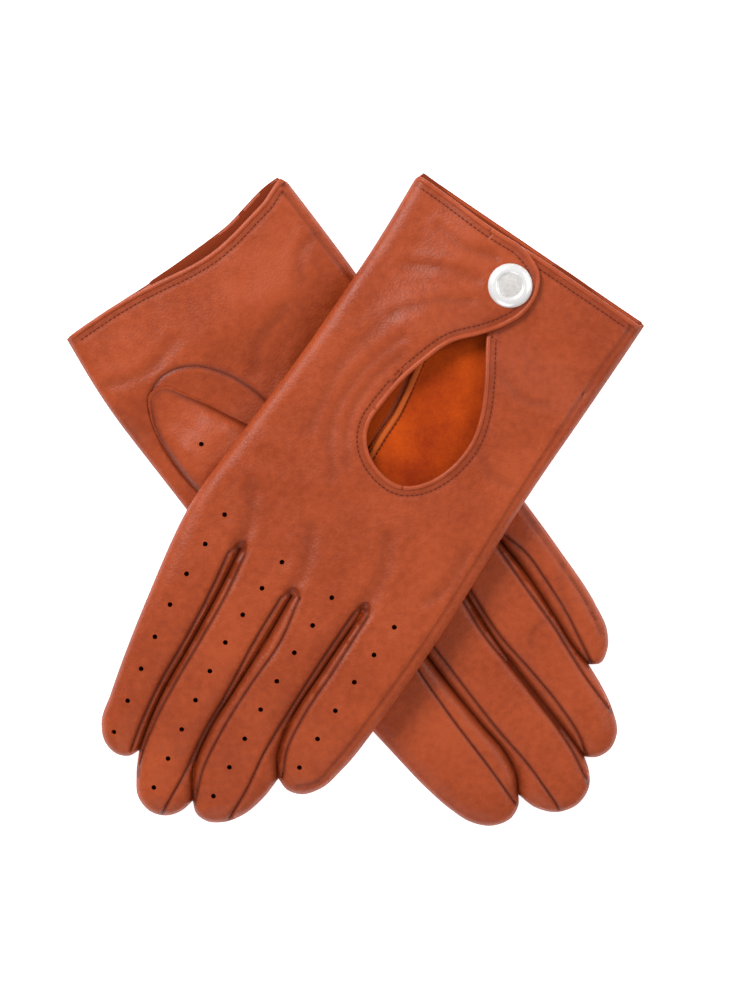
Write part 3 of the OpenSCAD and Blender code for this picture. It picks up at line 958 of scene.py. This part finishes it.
def rim_parts(glove):
    """The rim down to the join on the little finger's side, and the rest down to the cuff."""
    rim = glove.rim
    half = len(rim) // 2
    low = half + np.nonzero(rim[half:, 1] < JOIN_U + 0.5)[0][0]
    at = np.interp(JOIN_U, [rim[low, 1], rim[low - 1, 1]], [rim[low, 0], rim[low - 1, 0]])
    corner = np.array([[at, JOIN_U]])
    below = rim[low:]
    below = below[below[:, 1] < JOIN_U - 0.5]
    return np.vstack([rim[:low], corner]), np.vstack([corner, below])


def cuff_run(glove, face, start, end):
    """Points of the cuff's edge from one v to another, without the ends."""
    v = np.arange(min(start, end) + 1.1, max(start, end) - 0.6, 1.15)
    if start > end:
        v = v[::-1]
    return np.column_stack([v, cuff_line(face, glove.side)(v)])


def within(rows, loop):
    """The parts of the rows that lie inside a closed line."""
    return [row[inside(row, loop)] for row in rows]


def seam_rows(glove):
    """Rows of points that give the seams and the valleys their shape."""
    rows = []
    for line in [line for _, line in glove.seams] + [glove.side_seam] + glove.crotches:
        rows += [beside(line, gap) for gap in (-0.4, 0.4, -1.0, 1.0)]
    rows += glove.crotches + [glove.side_seam]
    for line in glove.valleys:
        rows += [beside(line, gap) for gap in (-0.5, 0.5, -1.1, 1.1)]
    return rows


def rim_rows(glove, loop):
    """Rows of points that round the rim."""
    return within([beside(glove.rim, -gap) for gap in (0.35, 0.9, 1.7, 2.7)], loop)


def edge_rows(lines, loop):
    """Rows of points that give the turned edges their groove and ridge."""
    gaps = (0.8, 1.4, GROOVE_AT, 2.1, 2.6, HEM_STITCH_AT, 3.6, 4.2)
    rows = [beside(line, sign * gap) for line in lines for gap in gaps for sign in (-1, 1)]
    return within(rows, loop)


def strip_regions(glove):
    """For each valley, the closed line round the strip let in there."""
    regions = []
    for i in range(3):
        left, right = (line for k, line in glove.seams if k == i)
        regions.append(np.vstack([left, right[::-1]]))
    return regions


def inner_seams(glove):
    """The lines at which the strips and the valleys part the leather."""
    return [line for _, line in glove.seams] + glove.valleys


def cut_out(glove, flat, z, tris, painted_shade_and_seam, face, regions):
    """Pieces cut from one sheet of leather, by name and closed line, and the faces left over."""
    made = {}
    for name, loop in regions:
        mask = inside(flat[tris].mean(1), loop)
        title = f"{glove.side}_{name}"
        made[name] = make_piece(title, glove, flat, z, tris[mask], painted_shade_and_seam, face == "back", [TAN, SUEDE])
        tris = tris[~mask]
    return made, tris


def strips(glove, face):
    """The names and closed lines of the strips let in between the fingers."""
    return [(f"{name}_strip_{face}", loop) for name, loop in zip(STRIPS, strip_regions(glove))]


def join_line(glove, corner_v):
    """Where the layer under the tab joins the hand, with points where the side seam crosses it."""
    line = even(np.array([[KEYHOLE_POINT[0], JOIN_U], [corner_v, JOIN_U]]), 1.2)[:, 0]
    seam_v = np.interp(JOIN_U, glove.side_seam[:, 1], glove.side_seam[:, 0])
    line = line[np.abs(line - seam_v) > 1.5]
    line = np.sort(np.append(line, seam_v + np.array([-1.0, -0.4, 0, 0.4, 1.0])))
    return np.column_stack([line, np.full(len(line), JOIN_U)])


def make_back(glove, top):
    """The back of the hand with its strips, the tab, and the cuff's edge on the index side."""
    side = glove.side
    spacing = SEEN_SPACING if top else HIDDEN_BACK_SPACING
    upper, lower = rim_parts(glove)
    joint = join_line(glove, upper[-1, 0])
    start = OPENING[0].copy()
    cuff_index = cuff_run(glove, "back", start[0], -CUFF_HALF)
    loop = np.vstack([upper[:-1], joint[::-1], OPENING[::-1][1:], cuff_index])
    cuff_edge = np.vstack([[start], cuff_index, [[-CUFF_HALF, 0]]])
    fold_line = even(np.array([[FOLD_V, 1.3], [FOLD_V, FOLD_END + 4]]), 1.2)
    edges = [OPENING, cuff_edge]
    rows = rim_rows(glove, loop)
    if top:
        rows = edge_rows(edges, loop) + seam_rows(glove) + rows
    lines = [fold_line] + inner_seams(glove)
    flat, tris = plan_mesh(loop, punched(PERFORATIONS[side]), lines, within(rows, loop), spacing)
    v, u = flat[:, 0], flat[:, 1]
    low_side = (v > LOW_V) & (u >= JOIN_U - 0.01) & (u < LOW_U)
    z, painted_shade_and_seam = leather_height(glove, flat, "back", top, low_side, edges)
    v, u = flat[tris].mean(1).T
    flap = (v > FOLD_V) & ((u < JOIN_U) | ((v < LOW_V) & (u < FOLD_END)))
    made, rest = cut_out(glove, flat, z, tris[~flap], painted_shade_and_seam, "back", strips(glove, "back"))
    materials = [TAN, SUEDE]
    made["hand"] = make_piece(f"{side}_back_hand", glove, flat, z, rest, painted_shade_and_seam, True, materials)
    made["tab"] = make_piece(f"{side}_tab_leather", glove, flat, z, tris[flap], painted_shade_and_seam, True, materials)
    made["under"], under_cuff = make_under(glove, top, joint, lower, spacing)
    return made, cuff_edge, under_cuff


def make_under(glove, top, joint, lower, spacing):
    """The layer of the back that lies under the tab, and its edge at the cuff."""
    cuff = cuff_run(glove, "back", CUFF_HALF, UNDER_V)
    hidden_edge = [[UNDER_V, 0.6], [UNDER_V, 22], [-5, JOIN_U], [2, JOIN_U]]
    loop = np.vstack([joint, lower[1:], cuff, even(np.array(hidden_edge, float), 1.8)])
    cuff_edge = np.vstack([[[CUFF_HALF, 0]], cuff, [[UNDER_V, 0.6]]])
    rows = edge_rows([cuff_edge], loop) if top else []
    rows += [beside(glove.side_seam, gap) for gap in (-1.1, -0.45, 0, 0.45, 1.1)]
    flat, tris = plan_mesh(loop, (), (), within(rows, loop), spacing)
    low_side = np.ones(len(flat), bool)
    past_tab = (OPENING[:, 0] > LOW_V) & (OPENING[:, 1] > JOIN_U - 1)
    edges = [OPENING[past_tab], cuff_edge]
    z, painted_shade_and_seam = leather_height(glove, flat, "back", top, low_side, edges)
    title = f"{glove.side}_back_cuff"
    return make_piece(title, glove, flat, z, tris, painted_shade_and_seam, True, [TAN, SUEDE]), cuff_edge


def make_palm(glove, top):
    """The palm with its strips and the leather round the thumb's root, and the cuff's edge."""
    side = glove.side
    spacing = SEEN_SPACING if top else HIDDEN_PALM_SPACING
    cuff = cuff_run(glove, "palm", CUFF_HALF, -CUFF_HALF)
    loop = np.vstack([glove.rim, cuff])
    cuff_edge = np.vstack([[[CUFF_HALF, 0]], cuff, [[-CUFF_HALF, 0]]])
    root = smooth_line(THUMB_ROOT[side], closed=True)[:-1]
    rows = rim_rows(glove, loop)
    rows += [beside(root, gap) for gap in (-0.5, 0.5, -1.2, 1.2)]
    if top:
        rows = edge_rows([cuff_edge], loop) + seam_rows(glove) + rows
    lines = [np.vstack([root, root[:1]])] + inner_seams(glove)
    gaps = [seam_gap()] if side == "left" else []
    flat, tris = plan_mesh(loop, gaps, lines, within(rows, loop), spacing)
    z, painted_shade_and_seam = leather_height(glove, flat, "palm", top, None, [cuff_edge])
    regions = strips(glove, "palm") + [("thumb_root", root)]
    made, rest = cut_out(glove, flat, z, tris, painted_shade_and_seam, "palm", regions)
    title = f"{side}_palm_hand"
    made["hand"] = make_piece(title, glove, flat, z, rest, painted_shade_and_seam, False, [TAN, SUEDE])
    return made, cuff_edge


def seam_gap():
    """The narrow opening beside the thumb's seam, tapered at both ends."""
    line = beside(smooth_line(INNER_SEAM, 1.2)[2:-2], 0.95 + GAP_HALF)
    taper = np.sin(np.linspace(0.15, math.pi - 0.15, len(line)))**0.6
    slope = np.gradient(line, axis=0)
    slope /= np.linalg.norm(slope, axis=1)[:, None]
    side = np.column_stack([-slope[:, 1], slope[:, 0]]) * (GAP_HALF * taper)[:, None]
    return np.vstack([line + side, (line - side)[::-1]])


def make_inner_seam(glove, height_of):
    """The seam allowance of the thumb's seam, seen through the keyhole."""
    line = smooth_line(INNER_SEAM, 1.0)
    z = height_of(line) + LEATHER + 0.35
    strip = sweep(f"{glove.side}_thumb_seam", glove, line, z, 1.0, 0.55, SEAM_TAN)
    stand_for(strip, glove.body, "leather_edging")

    def on_suede(points):
        return height_of(points) + LEATHER + 0.1

    row = stitch_row(f"{glove.side}_thumb_seam_stitches", glove, beside(line, -1.35), on_suede)
    stand_for(row, glove.body, "thread")


def tube_height(points, outline):
    """How the thumb stands: its rise from the root, its rounding at the edge, and its wrinkles."""
    near = np.minimum(distance(points, outline) / 7.5, 1)
    shape = np.sqrt(np.clip(1 - (1 - near)**2, 0, 1))
    rise = 0.12 + 0.88 * ease(points[:, 1], 30, 60)
    slanted = points @ np.array([[0.9, 0.3], [-0.5, 0.6]])
    wrinkle = 0.16 * ripple(slanted, 5.0, 71) * ease(near, 0.2, 0.8)
    wrinkle += 0.22 * ripple(points, 16, 72) * near
    return rise, shape, wrinkle


def make_thumb(glove, top):
    """The thumb, a flattened tube folded across the palm."""
    side = glove.side
    outline = smooth_line(THUMB_TUBE[side], 1.0, closed=True)[:-1]
    closed = np.vstack([outline, outline[:1]])
    holes = [ring(at) for at in THUMB_PERFORATIONS[side]]
    rows = [beside(outline, gap) for gap in (-0.35, 0.35, -0.9, 0.9, -1.7, 1.7, -2.7, 2.7)]
    spacing = 1.2 if top else 2.0
    flat, tris = plan_mesh(outline, holes, (), within(rows, outline), spacing)
    rise, shape, wrinkle = tube_height(flat, closed)
    z = -rise * THUMB_OUT * (0.10 + 0.90 * shape) - wrinkle * rise
    # Painted shade: the thumb darkens towards its rounded edge, where it turns down to the palm.
    painted_shade_and_seam = np.exp(-(distance(flat, closed) / 1.5)**2)
    outer = make_piece(f"{side}_thumb_outer", glove, flat, z, tris, painted_shade_and_seam, False, [TAN])
    flat, tris = plan_mesh(outline, (), (), (), 2.4)
    rise, shape, _ = tube_height(flat, closed)
    z = -rise * THUMB_OUT * (0.10 - 0.06 * shape)
    painted_shade_and_seam = np.zeros(len(flat))
    title = f"{side}_thumb_inner"
    inner = make_piece(title, glove, flat, z, tris, painted_shade_and_seam, True, [TAN], THUMB_INNER_LEATHER)
    return outer, inner


def on_back(glove, top, low):
    """The height of the back's outer face under points of the plan."""
    def height(points):
        sides = np.full(len(points), low)
        return leather_height(glove, points, "back", top, sides, None)[0]
    return height


def on_palm(glove, top):
    """The height of the palm's outer face under points of the plan."""
    def height(points):
        return leather_height(glove, points, "palm", top)[0]
    return height


def turned_edge(name, glove, line, height_of, out):
    """The rolled strip along a cut edge. The line runs with the leather on its left."""
    inner = beside(line, ROLL_IN)
    z = height_of(inner) - out * ROLL_SINK
    # The roll is drawn in the lighter leather, a painted highlight along the edge.
    return sweep(name, glove, inner, z, ROLL_HALF_WIDE, ROLL_HALF_HIGH, EDGE_TAN_PAINTED_HIGHLIGHT)


def hem_stitches(name, glove, line, height_of, out):
    """The stitches along a turned edge. The line runs with the leather on its left."""
    def sunk(points):
        return height_of(points) - out * STITCH_SINK
    return stitch_row(name, glove, beside(line, HEM_STITCH_AT), sunk)


def lathe(name, centre, profile, facing, materials, inner_from, steps=72):
    """A turned piece: profile is (radius, height) from the rim to the middle."""
    points, faces, kinds = [], [], []
    x, y, z = centre
    for radius, height in profile[:-1]:
        for k in range(steps):
            a = 2 * math.pi * k / steps
            aside, ahead = radius * MM * math.cos(a), radius * MM * math.sin(a)
            points.append((x + aside, y + ahead, z + facing * height * MM))
    points.append((x, y, z + facing * profile[-1][1] * MM))
    for i in range(len(profile) - 2):
        for k in range(steps):
            n = (k + 1) % steps
            faces.append((i * steps + k, i * steps + n, (i + 1) * steps + n, (i + 1) * steps + k))
            kinds.append(1 if i >= inner_from else 0)
    last = (len(profile) - 2) * steps
    for k in range(steps):
        faces.append((last + k, last + (k + 1) % steps, len(points) - 1))
        kinds.append(1)
    faces.append(tuple(reversed(range(steps))))
    kinds.append(0)
    mesh = bpy.data.meshes.new(name)
    mesh.from_pydata(points, [], faces)
    mesh.polygons.foreach_set("material_index", kinds)
    turn_outwards(mesh)
    mesh.polygons.foreach_set("use_smooth", [True] * (len(faces) - 1) + [False])
    for m in materials:
        mesh.materials.append(m)
    return show(name, mesh)


def make_cap(glove):
    """The press stud's cap, a ring of plating painted mostly diffuse white in place of its bright
    reflections, round a satin dish.
    """
    low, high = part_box(glove.side + "_cap")
    facing = -1 if glove.flipped else 1
    seat = high[2] if glove.flipped else low[2]
    centre = ((low[0] + high[0]) / 2, (low[1] + high[1]) / 2, seat + facing * CAP_SEAT * MM)
    title = f"{glove.side}_snap_cap"
    return lathe(title, centre, CAP_PROFILE, facing, [CHROME_PAINTED_REFLECTION, SATIN], CAP_DISH_FROM)


def bend_with_tab(piece, glove):
    """The piece's placement baked into its mesh; the ends of a bend at the tab's root are worked out but
    no bend is made.
    """
    ends = [glove.place([v], [HINGE_AT[1]], [THICK])[0] for v in (FOLD_V, FOLD_V + FOLD_SOFT)]
    ends[1][2] = ends[0][2]
    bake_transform(piece)


def stand_for(piece, body, slot, *nodes):
    """The piece moves with its body, and stands for its solids."""
    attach(piece, body)
    if nodes:
        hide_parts(*nodes)


def make_glove(side):
    """One whole glove. The left lies back up, the right palm up."""
    glove = GLOVES[side]
    back_up = side == "left"
    back, index_cuff, under_cuff = make_back(glove, back_up)
    palm, palm_cuff = make_palm(glove, not back_up)
    stand_for(back["hand"], glove.body, "leather", side + "_back")
    stand_for(back["under"], glove.body, "leather")
    stand_for(palm["hand"], glove.body, "leather", side + "_palm")
    stand_for(palm["thumb_root"], glove.body, "leather")
    for name in STRIPS:
        stand_for(back[name + "_strip_back"], glove.body, "leather", f"{side}_{name}_fourchette")
        stand_for(palm[name + "_strip_palm"], glove.body, "leather")
    for piece in make_thumb(glove, not back_up):
        stand_for(piece, glove.body, "leather", side + "_thumb")
    make_edges(glove, index_cuff[::-1], under_cuff[::-1], palm_cuff[::-1], back_up)
    if side == "left":
        make_inner_seam(glove, on_palm(glove, False))
    bend_with_tab(back["tab"], glove)
    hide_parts(side + "_tab", side + "_tab_lining")
    stand_for(make_cap(glove), glove.flap, "cap_chrome", side + "_cap")


def make_edges(glove, index_cuff, under_cuff, palm_cuff, back_up):
    """The turned edges and their stitches. Each line runs with the leather on its left."""
    side = glove.side
    high, low = on_back(glove, back_up, False), on_back(glove, back_up, True)
    on_front = on_palm(glove, not back_up)
    fixed_cuff = index_cuff[index_cuff[:, 0] < FOLD_V + 0.3][1:]
    moving_cuff = index_cuff[index_cuff[:, 0] > FOLD_V - 1.2]
    under_cuff, palm_cuff = under_cuff[:-1], palm_cuff[1:-1]
    half = len(OPENING) // 2
    turn = np.nonzero(OPENING[:half, 1] > FOLD_END)[0][0]
    tab_line = even(np.vstack([moving_cuff[:-1], OPENING[:turn + 1]]), 1.0)
    key = OPENING[turn:]
    split = np.nonzero((key[:, 0] > LOW_V) & (key[:, 1] < LOW_U))[0][0]
    key_high, key_low = (key[:split + 1], high, 1), (key[split:], low, 1)
    cuffs = [(fixed_cuff, high, 1), (under_cuff, low, 1), (palm_cuff, on_front, -1)]
    sewn_cuffs = [
        (fixed_cuff[3:], high, 1), (under_cuff[:-4], low, 1), (palm_cuff[3:-3], on_front, -1),
    ]

    for name, runs in (("cuff", cuffs), ("keyhole", [key_high, key_low])):
        roll = join(f"{side}_{name}_roll", [turned_edge("roll", glove, *run) for run in runs])
        stand_for(roll, glove.body, "leather_edging", f"{side}_{name}_edging")
    tab = turned_edge(f"{side}_tab_roll", glove, tab_line, high, 1)
    bend_with_tab(tab, glove)
    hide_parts(side + "_tab_edging")
    rows = [hem_stitches("row", glove, *run) for run in sewn_cuffs + [key_high, key_low]]
    stand_for(join(f"{side}_hem_stitches", rows), glove.body, "thread", side + "_cuff_stitching")
    row = hem_stitches(f"{side}_tab_stitches", glove, tab_line, high, 1)
    bend_with_tab(row, glove)
    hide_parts(side + "_tab_stitching")


for side in SIDES:
    make_glove(side)
    for node in ("stud", "stud_post", "socket"):
        metal = frame["nodes"][f"{side}_{node}"]
        metal.data.materials.clear()
        metal.data.materials.append(STUD_METAL)


# ---------------------------------------------------------------- floor, light and camera

def make_floor():
    """The plain pale table that the pair lies on."""
    mesh = bpy.data.meshes.new("table_top")
    half = TABLE_HALF
    corners = [(-half, -half, 0), (half, -half, 0), (half, half, 0), (-half, half, 0)]
    mesh.from_pydata(corners, [], [(0, 1, 2, 3)])
    floor = show("table_top", mesh)
    finish, nodes, links, shader, where = new_finish("pale_table")
    soft = noise(nodes, links, where, 3.0, 2.0)
    pale = blend_colours(nodes, links, soft, (0.93, 0.93, 0.93), (0.96, 0.96, 0.96))
    links.new(pale, shader.inputs["Base Color"])
    shader.inputs["Roughness"].default_value = 0.9
    shader.inputs["Emission Color"].default_value = (1, 1, 1, 1)
    shader.inputs["Emission Strength"].default_value = 0.75
    mesh.materials.append(finish)
    floor.location.z = -TABLE_GAP


def make_light(name, at, size, power):
    """A round soft light that looks at the pair."""
    lamp = bpy.data.lights.new(name, "AREA")
    lamp.shape = "DISK"
    lamp.size = size
    lamp.energy = power
    light = show(name, lamp)
    light.location = at
    light.rotation_euler = (Vector(LOOKED_AT) - Vector(at)).to_track_quat("-Z", "Y").to_euler()


def make_studio():
    """The table, the lights and an even pale room."""
    make_floor()
    for name, lamp in LAMPS.items():
        make_light(name, *lamp)
    world = bpy.data.worlds.new("soft_room")
    bpy.context.scene.world = world
    world.use_nodes = True
    room = world.node_tree.nodes["Background"]
    room.inputs["Color"].default_value = (1, 1, 1, 1)
    room.inputs["Strength"].default_value = ROOM_LIGHT
    bpy.context.scene.view_settings.view_transform = "Standard"


def make_camera():
    """The camera, straight above the pair."""
    lens = bpy.data.cameras.new("camera")
    lens.lens = CAMERA_LENS
    lens.clip_start = 0.01
    camera = show("camera", lens)
    middle = [(a + b) / 2 for a, b in zip(*CAD_BOX)]
    camera.location = (middle[0] + CAMERA_ASIDE[0], middle[1] + CAMERA_ASIDE[1], CAMERA_HEIGHT)
    bpy.context.scene.camera = camera


make_studio()
make_camera()
